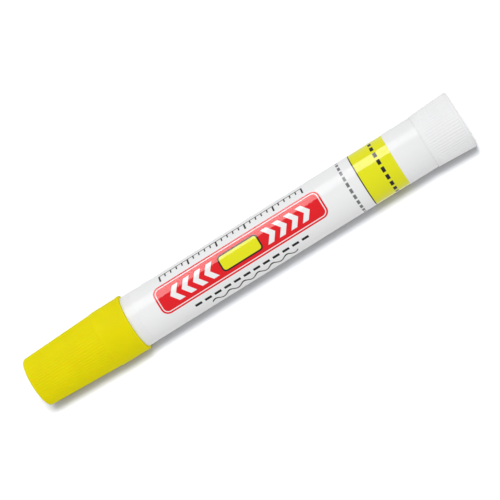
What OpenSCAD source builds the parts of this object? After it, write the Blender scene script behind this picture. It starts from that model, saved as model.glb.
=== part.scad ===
// Twist-up marking stick: a capped barrel whose tail knob winds a solid paint stick out of the nose.
// The stick lies along X on the plane Z = 0, with its cap towards -X and its knob towards +X.
// Stations along the axis are measured from the closed end of the cap.

/* [Cap] */
// Length of the cap
cap_len = 35.5; // [30:0.1:50]
// Wall of the cap
cap_wall = 1.1; // [0.7:0.05:1.5]
// Thickness of the cap's closed end
cap_end_wall = 1.6; // [1:0.1:3]
// Length of the smooth collar at the cap's mouth
cap_collar_len = 10.3; // [6:0.1:16]
// Height of the step between the collar and the ribbed grip
cap_collar_step = 0.3; // [0.1:0.05:0.6]
// How much the radius of the ribbed grip drops towards the closed end
cap_taper = 1; // [0.2:0.1:1.3]
// Rounding of the cap's closed end
cap_end_round = 0.9; // [0.4:0.1:1.5]
// Rounding of the cap's mouth
cap_rim_round = 0.4; // [0.2:0.05:0.5]
// Chamfer inside the cap's mouth
cap_lead_in = 0.15; // [0.1:0.05:0.5]

/* [Cap seal] */
// Wall of the seal ring inside the cap
seal_wall = 0.5; // [0.4:0.05:1]
// Thickness of the lip that covers the nose of the barrel
seal_lip = 0.6; // [0.4:0.1:1.2]
// Depth of the seal ring behind the cap's mouth
seal_recess = 1; // [0.5:0.1:2]

/* [Barrel] */
// Outside diameter of the barrel
barrel_d = 17; // [15:0.1:24]
// Length of the barrel from its front shoulder to its tail
barrel_len = 102.1; // [92:0.1:140]
// Wall of the barrel
barrel_wall = 1.2; // [0.9:0.05:1.6]
// Length of the neck that carries the cap
neck_len = 9.5; // [7:0.1:13]
// Wall of the neck
neck_wall = 1.15; // [0.8:0.05:1.4]
// Depth of the ring groove on the neck
neck_groove = 0.3; // [0.1:0.05:0.5]
// Distance from the shoulder to the middle of the ring groove
neck_groove_at = 3; // [1.5:0.1:5]
// Rounding of the neck's front edge
mouth_round = 0.4; // [0.2:0.05:0.6]
// Rounding of the barrel's edges at the cap and at the knob
barrel_round = 0.15; // [0.1:0.05:0.6]

/* [Label] */
// Distance from the barrel's shoulder to the label
label_start = 3; // [1:0.1:8]
// Length of the label
label_len = 89.3; // [60:0.1:89.5]
// Thickness of the label film
label_t = 0.1; // [0.05:0.01:0.2]

/* [Knob] */
// Length of the knob
knob_len = 13; // [10:0.1:20]
// Wall of the knob's shell
knob_wall = 1.2; // [0.8:0.05:1.4]
// Thickness of the knob's closed end
knob_end_wall = 1.6; // [1:0.1:3]
// How far the knob stands proud of the barrel at the seam
knob_step = 0.15; // [0:0.05:0.4]
// Length of the smooth band beside the seam
knob_band = 1.4; // [0.8:0.1:4]
// Rounding of the knob's end
knob_round = 0.9; // [0.3:0.1:1.1]
// Rounding of the knob's edge at the seam
knob_seam_round = 0.2; // [0.1:0.05:0.6]

/* [Ribs] */
// Number of ribs round the cap and round the knob
rib_count = 60; // [24:1:72]
// Depth of the grooves between the ribs
rib_depth = 0.12; // [0.08:0.02:0.3]
// Width of each groove at the surface
rib_groove_w = 0.5; // [0.3:0.05:0.6]

/* [Paint stick] */
// Length of the paint stick
paint_len = 60; // [45:0.5:66]
// Length of the bullet tip
tip_len = 7.5; // [4:0.1:12]
// Radius of the flat at the very tip
tip_flat_r = 1.5; // [0.5:0.1:3]
// Depth of the retracted tip behind the barrel's mouth
tip_recess = 1.5; // [0.5:0.1:4]

/* [Carrier] */
// Wall of the cup that holds the paint stick
cup_wall = 0.85; // [0.6:0.05:1.2]
// Depth of the cup
cup_depth = 8; // [5:0.1:14]
// Thickness of the cup's floor
cup_floor = 1.6; // [1:0.1:3]
// Outside diameter of the hub behind the floor
hub_d = 8.8; // [6.5:0.1:11]
// Length of the hub
hub_len = 6; // [4:0.1:9]
// Number of guide fins, and of keyways in the barrel
fin_count = 4; // [2:1:6]
// Width of a guide fin
fin_w = 1.6; // [1:0.1:2.4]
// Depth of a keyway below the barrel's bore
keyway_depth = 0.5; // [0.3:0.05:0.6]

/* [Lead screw] */
// Outside diameter of the thread
screw_d = 6; // [5:0.1:7]
// Depth of the thread
thread_depth = 0.8; // [0.5:0.05:0.9]
// Advance for one turn of the knob
screw_lead = 4; // [3:0.1:6]
// Side of the square spigot that seats in the carrier's hub
spigot_w = 3; // [2:0.1:3.4]
// Length of the spigot
spigot_len = 5; // [3:0.1:6]

/* [Drive tube and nut] */
// Wall of the drive nut outside its thread
nut_wall = 0.7; // [0.5:0.05:0.9]
// Length of the drive nut
nut_len = 8; // [6:0.1:12]
// Thickness of the nut's flange
nut_flange = 1.2; // [0.8:0.1:2]
// Wall of the drive tube
tube_wall = 1.1; // [0.8:0.05:1.3]
// Thickness of the drive tube's thrust flange
thrust_flange = 1.2; // [0.8:0.1:2]
// Number of keys at each end of the drive tube
key_count = 2; // [1:1:4]
// Width of the keys that carry the twist
key_w = 1.6; // [1:0.1:2.4]
// Height of the keys that carry the twist
key_h = 0.7; // [0.4:0.05:0.75]
// Wall of the hub that holds the drive tube in the knob
knob_hub_wall = 1.3; // [1:0.05:1.4]

/* [Tail bush and friction ring] */
// Length of the tail bush
bush_len = 8; // [6:0.1:12]
// Step of the seat that the bush is pressed into
bush_step = 0.15; // [0.1:0.05:0.3]
// Thickness of the friction ring
ring_t = 1.6; // [1.2:0.1:1.7]
// How far the friction ring is stretched onto the drive tube
ring_bite = 0.15; // [0.05:0.05:0.3]

/* [Fits] */
// Radial clearance between the neck and the cap's seal
cap_fit = 0.1; // [0.05:0.01:0.2]
// Axial clearance between the cap's mouth and the barrel's shoulder
rim_gap = 0.1; // [0.05:0.05:0.5]
// Axial clearance between the seal's lip and the nose
nose_gap = 0.2; // [0.1:0.05:0.5]
// Radial clearance between the paint stick and the neck
paint_fit = 0.2; // [0.1:0.05:0.4]
// Radial clearance of the carrier in the barrel
slide_fit = 0.15; // [0.05:0.05:0.3]
// Radial clearance of the drive tube in the tail bush
run_fit = 0.05; // [0.02:0.01:0.1]
// Clearance round the lead screw's thread in the nut
thread_fit = 0.2; // [0.15:0.05:0.3]
// Axial clearance between pieces that turn past each other
turn_gap = 0.1; // [0.05:0.05:0.6]
// Clearance from the carrier's hub to the drive nut when the stick is wound right in
feed_gap = 1; // [0.5:0.1:3]
// Radial clearance from the thrust flange to the barrel's bore
flange_fit = 0.7; // [0.3:0.1:1]
// Clearance from the lead screw's end to the knob's closed end
screw_end_gap = 2.5; // [1:0.1:5]

/* [Hidden] */
$fn = 96;
// How far a cutter runs past the face that it opens
over = 0.5;
// Straight pieces in a rounded edge
arc_steps = 6;
// The thread in cross-section: half the angle of its crest and of its crest with flanks, and its facets
thread_crest = 50;
thread_root = 100;
crest_steps = 2;
root_steps = 5;
slices_per_turn = 12;

// Radii, worked out from the barrel inwards to the paint stick
barrel_r = barrel_d / 2;
label_r = barrel_r - label_t;
bore_r = barrel_r - barrel_wall;
keyway_r = bore_r + keyway_depth;
carrier_r = bore_r - slide_fit;
paint_r = carrier_r - cup_wall;
// and outwards again to the neck, the seal and the cap
neck_bore_r = paint_r + paint_fit;
neck_r = neck_bore_r + neck_wall;
seal_bore_r = neck_r + cap_fit;
seal_r = seal_bore_r + seal_wall;
cap_collar_r = seal_r + cap_wall;
cap_grip_r = cap_collar_r - cap_collar_step;
cap_end_r = cap_grip_r - cap_taper;
knob_seam_r = barrel_r + knob_step;
knob_end_r = cap_collar_r; // as wide as the cap's collar, so that the stick lies level
// Radii of the drive, worked out from the lead screw
core_r = screw_d / 2 - thread_depth;
nut_r = screw_d / 2 + thread_fit + nut_wall;
tube_r = nut_r + tube_wall;
thrust_r = bore_r - flange_fit;
bush_r = bore_r + bush_step;
bush_bore_r = tube_r + run_fit;
ring_mid_r = tube_r - ring_bite + ring_t / 2;
ring_seat_r = ring_mid_r + ring_t / 2 + run_fit;
knob_hub_r = tube_r + knob_hub_wall;
knob_bore_r = knob_seam_r - knob_wall;

// Stations along the axis
rim_s = cap_len;
grip_s = rim_s - cap_collar_len;
shoulder_s = rim_s + rim_gap;
mouth_s = shoulder_s - neck_len;
ledge_s = mouth_s - nose_gap - seal_lip;
tail_s = shoulder_s + barrel_len;
knob_s = tail_s + turn_gap;
end_s = knob_s + knob_len;
knob_floor_s = end_s - knob_end_wall;
label_s = shoulder_s + label_start;
bore_step_s = shoulder_s + barrel_wall;
bore_s = bore_step_s + (bore_r - neck_bore_r);
tip_s = mouth_s + tip_recess;
base_s = tip_s + paint_len;
hub_s = base_s + cup_floor;
hub_end_s = hub_s + hub_len;
nut_s = hub_end_s + feed_gap;
tube_s = nut_s + nut_flange;
bush_s = tail_s - bush_len;
thrust_s = bush_s - turn_gap - thrust_flange;
ring_s = bush_s + ring_t / 2;
ring_seat_s = bush_s + ring_t + run_fit;
screw_end_s = knob_floor_s - screw_end_gap;

// Points of an arc about a centre, in degrees
function arc(centre, r, from, to) =
    [for (i = [0:arc_steps]) let (a = from + (to - from) * i / arc_steps) centre + r * turned(a)];

// Unit vector at an angle
function turned(a) = [cos(a), sin(a)];

// Radius of the cap's ribbed grip at a station
function grip_r(s) = cap_end_r + cap_taper * s / grip_s;

// Radius of the knob at a station
function knob_r(s) = knob_seam_r + (knob_end_r - knob_seam_r) * (s - knob_s) / knob_len;

// Lays a piece that was made along its own Z axis along the stick's X axis
module lay() {
    translate([-end_s / 2, 0, cap_collar_r]) rotate([0, 90, 0]) children();
}

// Grooves between the ribs of a tapered grip, from one station and radius to another
module rib_grooves(s1, r1, s2, r2) {
    for (i = [0:rib_count - 1])
        rotate(i * 360 / rib_count)
            translate([r1, 0, s1])
                rotate([0, atan2(r2 - r1, s2 - s1), 0])
                    linear_extrude(norm([s2 - s1, r2 - r1]))
                        polygon([[-rib_depth, 0], [rib_depth, -rib_groove_w], [rib_depth, rib_groove_w]]);
}

// Bars at equal angles from one radius to another, as fins or as the cutters of their keyways
module bars(count, w, from_r, to_r, s, len) {
    for (i = [0:count - 1])
        rotate(i * 360 / count) translate([from_r, -w / 2, s]) cube([to_r - from_r, w, len]);
}

// Left-hand thread between two stations, grown by a clearance
module thread(from_s, to_s, grow) {
    turns = (to_s - from_s) / screw_lead;
    spread = 360 * grow / screw_lead;
    crest = thread_crest + spread;
    root = thread_root + spread;
    crest_r = screw_d / 2 + grow;
    outline = concat(
        [for (i = [-crest_steps:crest_steps]) crest_r * turned(crest * i / crest_steps)],
        [for (i = [0:root_steps]) (core_r + grow) * turned(root + (360 - 2 * root) * i / root_steps)]);
    translate([0, 0, from_s])
        rotate(-360 * from_s / screw_lead)
            linear_extrude(to_s - from_s, twist = 360 * turns, slices = ceil(turns * slices_per_turn),
                           segments = len(outline))
                polygon(outline);
}

module cap_shell() {
    end_bore_r = cap_end_r - rib_depth - cap_wall;
    ledge_bore_r = grip_r(ledge_s) - rib_depth - cap_wall;
    color("gold") lay() difference() {
        rotate_extrude() polygon(concat(
            [[0, 0]],
            arc([cap_end_r - cap_end_round, cap_end_round], cap_end_round, -90, 0),
            [[cap_grip_r, grip_s], [cap_collar_r, grip_s + cap_collar_step]],
            arc([cap_collar_r - cap_rim_round, rim_s - cap_rim_round], cap_rim_round, 0, 90),
            [[seal_r + cap_lead_in, rim_s], [seal_r, rim_s - cap_lead_in], [seal_r, ledge_s]],
            [[ledge_bore_r, ledge_s], [end_bore_r, cap_end_wall], [0, cap_end_wall]]));
        rib_grooves(-over, grip_r(-over), grip_s, cap_grip_r);
    }
}

module cap_seal() {
    lip_r = neck_bore_r + paint_fit;
    seal_end_s = rim_s - seal_recess;
    color("ivory") lay() rotate_extrude() polygon([
        [lip_r, ledge_s], [seal_r, ledge_s], [seal_r, seal_end_s],
        [seal_bore_r + seal_wall / 2, seal_end_s], [seal_bore_r, seal_end_s - seal_wall],
        [seal_bore_r, ledge_s + seal_lip], [lip_r, ledge_s + seal_lip]]);
}

module barrel() {
    groove_s = shoulder_s - neck_groove_at;
    color("white") lay() difference() {
        rotate_extrude() polygon(concat(
            [[neck_bore_r, mouth_s]],
            arc([neck_r - mouth_round, mouth_s + mouth_round], mouth_round, -90, 0),
            [[neck_r, groove_s - 2 * neck_groove], [neck_r - neck_groove, groove_s - neck_groove]],
            [[neck_r - neck_groove, groove_s + neck_groove], [neck_r, groove_s + 2 * neck_groove]],
            [[neck_r, shoulder_s]],
            arc([barrel_r - barrel_round, shoulder_s + barrel_round], barrel_round, -90, 0),
            [[barrel_r, label_s], [label_r, label_s]],
            [[label_r, label_s + label_len], [barrel_r, label_s + label_len]],
            arc([barrel_r - barrel_round, tail_s - barrel_round], barrel_round, 0, 90),
            [[bush_r, tail_s], [bush_r, bush_s], [bore_r, bush_s], [bore_r, bore_s]],
            [[neck_bore_r, bore_step_s]]));
        bars(fin_count, fin_w + 2 * slide_fit, bore_r - over, keyway_r, bore_s, tail_s + over - bore_s);
    }
}

module label() {
    color("white") lay() rotate_extrude()
        translate([label_r, label_s]) square([label_t, label_len]);
}

module tail_bush() {
    color("gainsboro") lay() {
        rotate_extrude() polygon([
            [ring_seat_r, bush_s], [bush_r, bush_s], [bush_r, tail_s],
            [bush_bore_r, tail_s], [bush_bore_r, ring_seat_s], [ring_seat_r, ring_seat_s]]);
        bars(fin_count, fin_w + 2 * slide_fit, bush_r - bush_step, keyway_r, bush_s, bush_len);
    }
}

module twist_knob() {
    rib_s = knob_s + knob_band;
    color("whitesmoke") lay() difference() {
        rotate_extrude() polygon(concat(
            [[knob_bore_r, knob_s]],
            arc([knob_seam_r - knob_seam_round, knob_s + knob_seam_round], knob_seam_round, -90, 0),
            arc([knob_end_r - knob_round, end_s - knob_round], knob_round, 0, 90),
            [[0, end_s], [0, knob_floor_s], [tube_r, knob_floor_s], [tube_r, knob_s], [knob_hub_r, knob_s]],
            [[knob_hub_r, knob_floor_s], [knob_bore_r, knob_floor_s]]));
        rib_grooves(rib_s, knob_r(rib_s), end_s + over, knob_r(end_s + over));
        bars(key_count, key_w, tube_r - over, tube_r + key_h, knob_s - over, knob_floor_s - knob_s + over);
    }
}

module drive_tube() {
    color("gainsboro") lay() difference() {
        union() {
            rotate_extrude() polygon([
                [nut_r, tube_s], [tube_r, tube_s], [tube_r, thrust_s], [thrust_r, thrust_s],
                [thrust_r, thrust_s + thrust_flange], [tube_r, thrust_s + thrust_flange],
                [tube_r, knob_floor_s], [nut_r, knob_floor_s]]);
            bars(key_count, key_w, nut_r + tube_wall / 2, tube_r + key_h, knob_s, knob_floor_s - knob_s);
        }
        bars(key_count, key_w, nut_r - over, tube_r + over, tube_s - over, key_h + over);
    }
}

module drive_nut() {
    color("lightsteelblue") lay() difference() {
        union() {
            rotate_extrude() polygon([
                [0, nut_s], [tube_r, nut_s], [tube_r, tube_s], [nut_r, tube_s],
                [nut_r, nut_s + nut_len], [0, nut_s + nut_len]]);
            bars(key_count, key_w, nut_r - nut_wall / 2, tube_r, tube_s, key_h);
        }
        thread(nut_s - over, nut_s + nut_len + over, thread_fit);
    }
}

module friction_ring() {
    color("dimgray") lay() rotate_extrude()
        translate([ring_mid_r, ring_s]) circle(d = ring_t);
}

module paint_stick() {
    // The bullet is an arc that leaves the side of the stick without a corner
    drop = paint_r - tip_flat_r;
    bullet_r = (tip_len ^ 2 + drop ^ 2) / (2 * drop);
    turn = asin(tip_len / bullet_r);
    color("yellow") lay() rotate_extrude() polygon(concat(
        [[0, tip_s]],
        arc([paint_r - bullet_r, tip_s + tip_len], bullet_r, -turn, 0),
        [[paint_r, base_s], [0, base_s]]));
}

module carrier() {
    cup_s = base_s - cup_depth;
    color("gainsboro") lay() difference() {
        union() {
            rotate_extrude() polygon([
                [paint_r, cup_s], [carrier_r, cup_s], [carrier_r, hub_s], [hub_d / 2, hub_s],
                [hub_d / 2, hub_end_s], [0, hub_end_s], [0, base_s], [paint_r, base_s]]);
            bars(fin_count, fin_w, carrier_r - cup_wall / 2, keyway_r - slide_fit, cup_s, hub_s - cup_s);
        }
        translate([-spigot_w / 2, -spigot_w / 2, hub_end_s - spigot_len])
            cube([spigot_w, spigot_w, spigot_len + over]);
    }
}

module lead_screw() {
    color("lightgray") lay() {
        translate([-spigot_w / 2, -spigot_w / 2, hub_end_s - spigot_len])
            cube([spigot_w, spigot_w, spigot_len]);
        thread(hub_end_s, screw_end_s, 0);
    }
}

cap_shell();
cap_seal();
barrel();
label();
tail_bush();
twist_knob();
drive_tube();
drive_nut();
friction_ring();
paint_stick();
carrier();
lead_screw();
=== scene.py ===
"""Dresses a packed twist-up marking stick and sets it on a studio floor.

The file is laid out as an add-on and run as a script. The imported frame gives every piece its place, and
each operator makes one piece or finishes one group of like pieces. Lengths are in metres. The stick lies
along X with its cap towards -X, and angles round it are measured from straight up towards the camera.
"""

import math

import bmesh
import bpy
from mathutils import Matrix, Vector


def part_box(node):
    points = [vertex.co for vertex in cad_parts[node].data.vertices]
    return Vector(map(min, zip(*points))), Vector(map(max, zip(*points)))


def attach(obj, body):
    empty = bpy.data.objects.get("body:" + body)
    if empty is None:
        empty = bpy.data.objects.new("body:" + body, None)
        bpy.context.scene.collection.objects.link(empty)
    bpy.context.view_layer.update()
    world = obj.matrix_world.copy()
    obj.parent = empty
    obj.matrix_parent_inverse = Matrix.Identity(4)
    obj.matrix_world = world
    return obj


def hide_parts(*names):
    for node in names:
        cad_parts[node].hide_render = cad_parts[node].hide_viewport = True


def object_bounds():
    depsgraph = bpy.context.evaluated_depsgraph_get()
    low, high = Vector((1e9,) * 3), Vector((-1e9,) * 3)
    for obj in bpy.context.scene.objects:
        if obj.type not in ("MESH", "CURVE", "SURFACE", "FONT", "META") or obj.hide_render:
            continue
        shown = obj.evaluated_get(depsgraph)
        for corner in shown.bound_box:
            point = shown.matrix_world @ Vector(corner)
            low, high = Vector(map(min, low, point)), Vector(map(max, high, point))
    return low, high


bl_info = {
    "name": "Marking Stick",
    "version": (1, 0, 0),
    "blender": (4, 5, 0),
    "location": "View3D > Sidebar > Marking Stick",
    "description": "Makes a twist-up paint marking stick round its packed frame",
    "category": "Add Mesh",
}

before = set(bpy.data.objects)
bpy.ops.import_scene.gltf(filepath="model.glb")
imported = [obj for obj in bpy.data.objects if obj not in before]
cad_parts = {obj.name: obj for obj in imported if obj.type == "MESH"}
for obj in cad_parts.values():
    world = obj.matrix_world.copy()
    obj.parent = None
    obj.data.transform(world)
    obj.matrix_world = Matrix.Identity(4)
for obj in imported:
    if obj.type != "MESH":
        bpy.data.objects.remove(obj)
CAD_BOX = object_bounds()

MM = 0.001

# How finely round pieces are turned
RIB_FACETS = 12
PLAIN_FACETS = 240
ROUND_SEGMENTS = 5
BULLET_STEPS = 14
WELD = 1e-6
SHARP_EDGE = math.radians(42)

# The line along the barrel that faces the camera, which the print is centred on
PRINT_ANGLE = math.radians(43)


def ends(node):
    """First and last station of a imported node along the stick"""
    low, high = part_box(node)
    return low.x, high.x


def reach(node):
    """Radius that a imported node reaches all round"""
    low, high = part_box(node)
    return min(high.y - low.y, high.z - low.z) / 2


CAP_END, CAP_RIM = ends("cap_shell")
SEAL_BACK, SEAL_FRONT = ends("cap_seal")
MOUTH = ends("barrel")[0]
LABEL_START, LABEL_END = ends("label")
KNOB_SEAM, KNOB_END = ends("twist_knob")
TIP, PAINT_BASE = ends("paint_stick")
BUSH_FRONT = ends("tail_bush")[0]
AXIS_HEIGHT = (CAD_BOX[0].z + CAD_BOX[1].z) / 2
LABEL_LENGTH = (LABEL_END - LABEL_START) / MM


# Properties

def length(name, description, millimetres):
    """Property for a length, stated in millimetres and kept in metres"""
    return bpy.props.FloatProperty(
        name=name, description=description, default=millimetres * MM, min=0.0, unit="LENGTH", precision=5
    )


def tone(red, green, blue):
    """Linear colour from 8-bit screen values"""
    return tuple(
        value / 255 / 12.92 if value <= 10 else ((value / 255 + 0.055) / 1.055) ** 2.4
        for value in (red, green, blue)
    )


def colour(name, description, red, green, blue):
    """Property for a colour, stated as it looks on a screen and kept linear"""
    return bpy.props.FloatVectorProperty(
        name=name, description=description, default=tone(red, green, blue), subtype="COLOR", min=0.0, max=1.0
    )


def factor(name, description, value):
    """Property for a share between nothing and all"""
    return bpy.props.FloatProperty(
        name=name, description=description, default=value, min=0.0, max=1.0, subtype="FACTOR"
    )


def power(name, description, watts):
    """Property for the power of a light panel"""
    return bpy.props.FloatProperty(
        name=name, description=description, default=watts, min=0.0, unit="POWER"
    )


class RibSettings(bpy.types.PropertyGroup):
    """Ribs that the cap and the knob share"""

    count: bpy.props.IntProperty(
        name="Ribs", description="Number of ribs round the cap and round the knob", default=60, min=24, max=72
    )
    half_width: length("Groove half width", "Half the width of a groove at the surface", 0.42)
    run_out: length("Groove run-out", "Length over which a groove runs out to nothing", 0.35)


class CapSettings(bpy.types.PropertyGroup):
    """Sizes and finish of the cap"""

    end_radius: length("End radius", "Radius of the cap at its closed end", 8.05)
    grip_radius: length("Grip radius", "Radius of the ribbed grip at its wide end", 9.05)
    collar_radius: length("Collar radius", "Radius of the smooth collar behind its bead", 9.22)
    collar_length: length("Collar length", "Length of the smooth collar at the mouth", 10.3)
    step: length("Collar step", "Length of the slope from the grip up to the collar", 0.3)
    bead: length("Bead", "Width of the bead round the mouth", 0.8)
    rib_depth: length("Rib depth", "Depth of the grooves between the ribs", 0.105)
    end_round: length("End rounding", "Rounding of the closed end", 0.9)
    rim_round: length("Rim rounding", "Rounding of the mouth", 0.35)
    rim_chamfer: length("Rim chamfer", "Chamfer inside the mouth", 0.05)
    end_wall: length("End wall", "Thickness of the closed end", 1.6)
    bore_wide: length("Wide bore", "Radius of the inside at the seal's ledge", 7.84)
    bore_narrow: length("Narrow bore", "Radius of the inside at the closed end", 6.83)
    gate_radius: length("Gate radius", "Radius of the moulding gate's dimple on the end", 1.1)
    gate_depth: length("Gate depth", "Depth of the moulding gate's dimple on the end", 0.25)
    plastic: colour("Plastic", "Colour of the cap", 233, 220, 14)
    roughness: factor("Roughness", "Roughness of the cap's satin surface", 0.5)


class SealSettings(bpy.types.PropertyGroup):
    """Sizes and finish of the ring that seals the cap on the neck"""

    lip_radius: length("Lip radius", "Radius of the hole in the lip", 6.7)
    lip: length("Lip", "Thickness of the lip that covers the nose", 0.6)
    bore_radius: length("Bore radius", "Radius of the bore that grips the neck", 7.75)
    lead_in: length("Lead-in", "Length of the chamfer at the mouth of the bore", 0.5)
    plastic: colour("Plastic", "Colour of the seal", 232, 229, 216)


class BarrelSettings(bpy.types.PropertyGroup):
    """Sizes and finish of the barrel"""

    nose_bore: length("Nose bore", "Radius of the bore that guides the paint stick", 6.5)
    neck_radius: length("Neck radius", "Radius of the neck that carries the cap", 7.65)
    groove_depth: length("Groove depth", "Depth of the ring groove on the neck", 0.3)
    groove_place: length("Groove place", "Distance from the shoulder to the ring groove", 3.0)
    bore: length("Bore", "Radius of the main bore", 7.3)
    bush_seat: length("Bush seat", "Radius of the seat for the tail bush", 7.45)
    front_wall: length("Front wall", "Thickness of the wall behind the shoulder", 1.2)
    film_depth: length("Film depth", "Depth of the recess for the label film", 0.1)
    mouth_round: length("Mouth rounding", "Rounding of the neck's front edge", 0.4)
    rim_gap: length("Rim gap", "Gap between the cap's rim and the shoulder", 0.04)
    seam_gap: length("Seam gap", "Gap between the tail and the knob", 0.015)
    seam_round: length("Seam rounding", "Rounding of the edges at the cap's rim and at the knob", 0.03)
    keyway_half_width: length("Keyway half width", "Half the width of a keyway in the bore", 0.95)
    keyway_radius: length("Keyway radius", "Radius of the floor of a keyway", 7.8)
    plastic: colour("Plastic", "Colour of the barrel", 240, 240, 240)


class LabelSettings(bpy.types.PropertyGroup):
    """Sizes and inks of the printed film"""

    thickness: length("Film thickness", "Thickness of the film", 0.08)
    overlap: length("Overlap", "Length of film that laps over its own start", 3.0)
    film: colour("Film", "Colour of the film where it is bare", 241, 241, 241)
    panel: colour("Panel", "Ink of the long panel", 228, 12, 26)
    band: colour("Band", "Ink of the band at the tail", 231, 229, 8)
    dark: colour("Dark ink", "Ink of the strokes, ticks and outlines", 30, 27, 29)
    grey: colour("Grey ink", "Ink of the fine ring beside the band", 118, 118, 120)
    roughness: factor("Roughness", "Roughness of the glossy film", 0.1)
    varnish: factor("Varnish", "Cover of the gloss varnish over the inks", 0.28)
    varnish_roughness: factor("Varnish roughness", "Roughness of the varnish", 0.04)


class KnobSettings(bpy.types.PropertyGroup):
    """Sizes and finish of the twist knob"""

    seam_radius: length("Seam radius", "Radius of the knob where it meets the barrel", 8.65)
    band: length("Smooth band", "Length of the smooth band beside the seam", 1.0)
    rib_depth: length("Rib depth", "Depth of the grooves between the ribs", 0.165)
    end_round: length("End rounding", "Rounding of the closed end", 0.9)
    seam_round: length("Seam rounding", "Rounding of the edge that meets the barrel", 0.03)
    bore: length("Bore", "Radius of the hollow under the shell", 7.45)
    hub_radius: length("Hub radius", "Outside radius of the hub", 6.3)
    hub_bore: length("Hub bore", "Radius of the hub's bore for the drive tube", 5.0)
    end_wall: length("End wall", "Thickness of the closed end", 1.6)
    key_half_width: length("Key half width", "Half the width of the hub's key slots", 0.8)
    key_radius: length("Key radius", "Radius of the floor of the hub's key slots", 5.7)
    gate_radius: length("Gate radius", "Radius of the moulding gate's dimple on the end", 1.2)
    gate_depth: length("Gate depth", "Depth of the moulding gate's dimple on the end", 0.25)
    plastic: colour("Plastic", "Colour of the knob", 241, 241, 241)
    roughness: factor("Roughness", "Roughness of the knob's satin surface", 0.42)


class PaintSettings(bpy.types.PropertyGroup):
    """Sizes and finish of the solid paint"""

    tip_length: length("Tip length", "Length of the bullet tip", 7.5)
    tip_flat: length("Tip flat", "Radius of the flat at the very tip", 1.5)
    base_round: length("Base rounding", "Rounding of the paint's foot in its cup", 0.2)
    paint: colour("Paint", "Colour of the solid paint", 238, 216, 12)
    bloom: colour("Bloom", "Colour of the dry bloom on the paint", 246, 231, 96)
    roughness: factor("Roughness", "Roughness of the waxy surface", 0.46)


class DriveSettings(bpy.types.PropertyGroup):
    """Finishes of the drive inside the barrel"""

    natural: colour("Natural plastic", "Colour of the tail bush, drive tube and carrier", 219, 219, 214)
    hard: colour("Hard plastic", "Colour of the drive nut and lead screw", 194, 199, 206)
    rubber: colour("Rubber", "Colour of the friction ring", 38, 38, 40)


class StageSettings(bpy.types.PropertyGroup):
    """Floor, light and camera"""

    floor: colour("Floor", "Colour of the floor", 151, 152, 154)
    floor_half: length("Floor half side", "Half the side of the floor", 4000.0)
    tent_top: bpy.props.FloatProperty(
        name="Tent above", description="Strength of the tent's light from above", default=1.03, min=0.0
    )
    tent_foot: bpy.props.FloatProperty(
        name="Tent below", description="Strength of the tent's light from below", default=0.45, min=0.0
    )
    tent_blend: factor("Tent blend", "How far above and below the horizon the two strengths blend", 0.75)
    tent_gloss: bpy.props.FloatProperty(
        name="Tent in gloss", description="Strength of the surround in reflections", default=0.92, min=0.0
    )
    strip_power: power("Strip power", "Power of the overhead panel that the film mirrors", 16.0)
    floor_power: power("Floor power", "Power of the high panel that lights the floor alone", 150.0)
    front_power: power("Front power", "Power of the front panel that lights the floor alone", 44.0)
    lens: bpy.props.FloatProperty(
        name="Lens", description="Focal length in millimetres", default=142.1, min=1.0, unit="CAMERA"
    )


SETTING_GROUPS = {
    "ribs": RibSettings,
    "cap": CapSettings,
    "seal": SealSettings,
    "barrel": BarrelSettings,
    "label": LabelSettings,
    "knob": KnobSettings,
    "paint": PaintSettings,
    "drive": DriveSettings,
    "stage": StageSettings,
}


class StickSettings(bpy.types.PropertyGroup):
    """All the settings of the marking stick"""

    ribs: bpy.props.PointerProperty(type=RibSettings, name="Ribs", description="Ribs of the grips")
    cap: bpy.props.PointerProperty(type=CapSettings, name="Cap", description="Pull-off cap")
    seal: bpy.props.PointerProperty(type=SealSettings, name="Seal", description="Ring inside the cap")
    barrel: bpy.props.PointerProperty(type=BarrelSettings, name="Barrel", description="Moulded barrel")
    label: bpy.props.PointerProperty(type=LabelSettings, name="Label", description="Printed film")
    knob: bpy.props.PointerProperty(type=KnobSettings, name="Knob", description="Twist knob")
    paint: bpy.props.PointerProperty(type=PaintSettings, name="Paint", description="Solid paint")
    drive: bpy.props.PointerProperty(type=DriveSettings, name="Drive", description="Drive in the barrel")
    stage: bpy.props.PointerProperty(type=StageSettings, name="Stage", description="Floor and light")


def settings():
    """Settings of the marking stick in this scene"""
    return bpy.context.scene.marking_stick


# Modelling

def polar(place):
    """Radius and angle of a point round the stick's axis"""
    across = -place.y
    up = place.z - AXIS_HEIGHT
    return math.hypot(across, up), math.atan2(across, up)


def put(vert, radius, angle):
    """Moves a vertex to a radius and angle at its own station"""
    vert.co.y = -radius * math.sin(angle)
    vert.co.z = AXIS_HEIGHT + radius * math.cos(angle)


def draw_outline(bm, corners):
    """Draws half of a section above the axis, as one face whose corners are rounded by the bevel

    Each corner is a station, a radius and the rounding of that corner.
    """
    verts = [bm.verts.new((station, 0.0, AXIS_HEIGHT + radius)) for station, radius, _ in corners]
    bm.faces.new(verts)
    for rounding in sorted({corner[2] for corner in corners if corner[2] > 0}):
        bmesh.ops.bevel(
            bm,
            geom=[vert for vert, corner in zip(verts, corners) if corner[2] == rounding],
            offset=rounding,
            offset_type="OFFSET",
            segments=ROUND_SEGMENTS,
            profile=0.5,
            affect="VERTICES",
            material=-1,
        )


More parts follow.
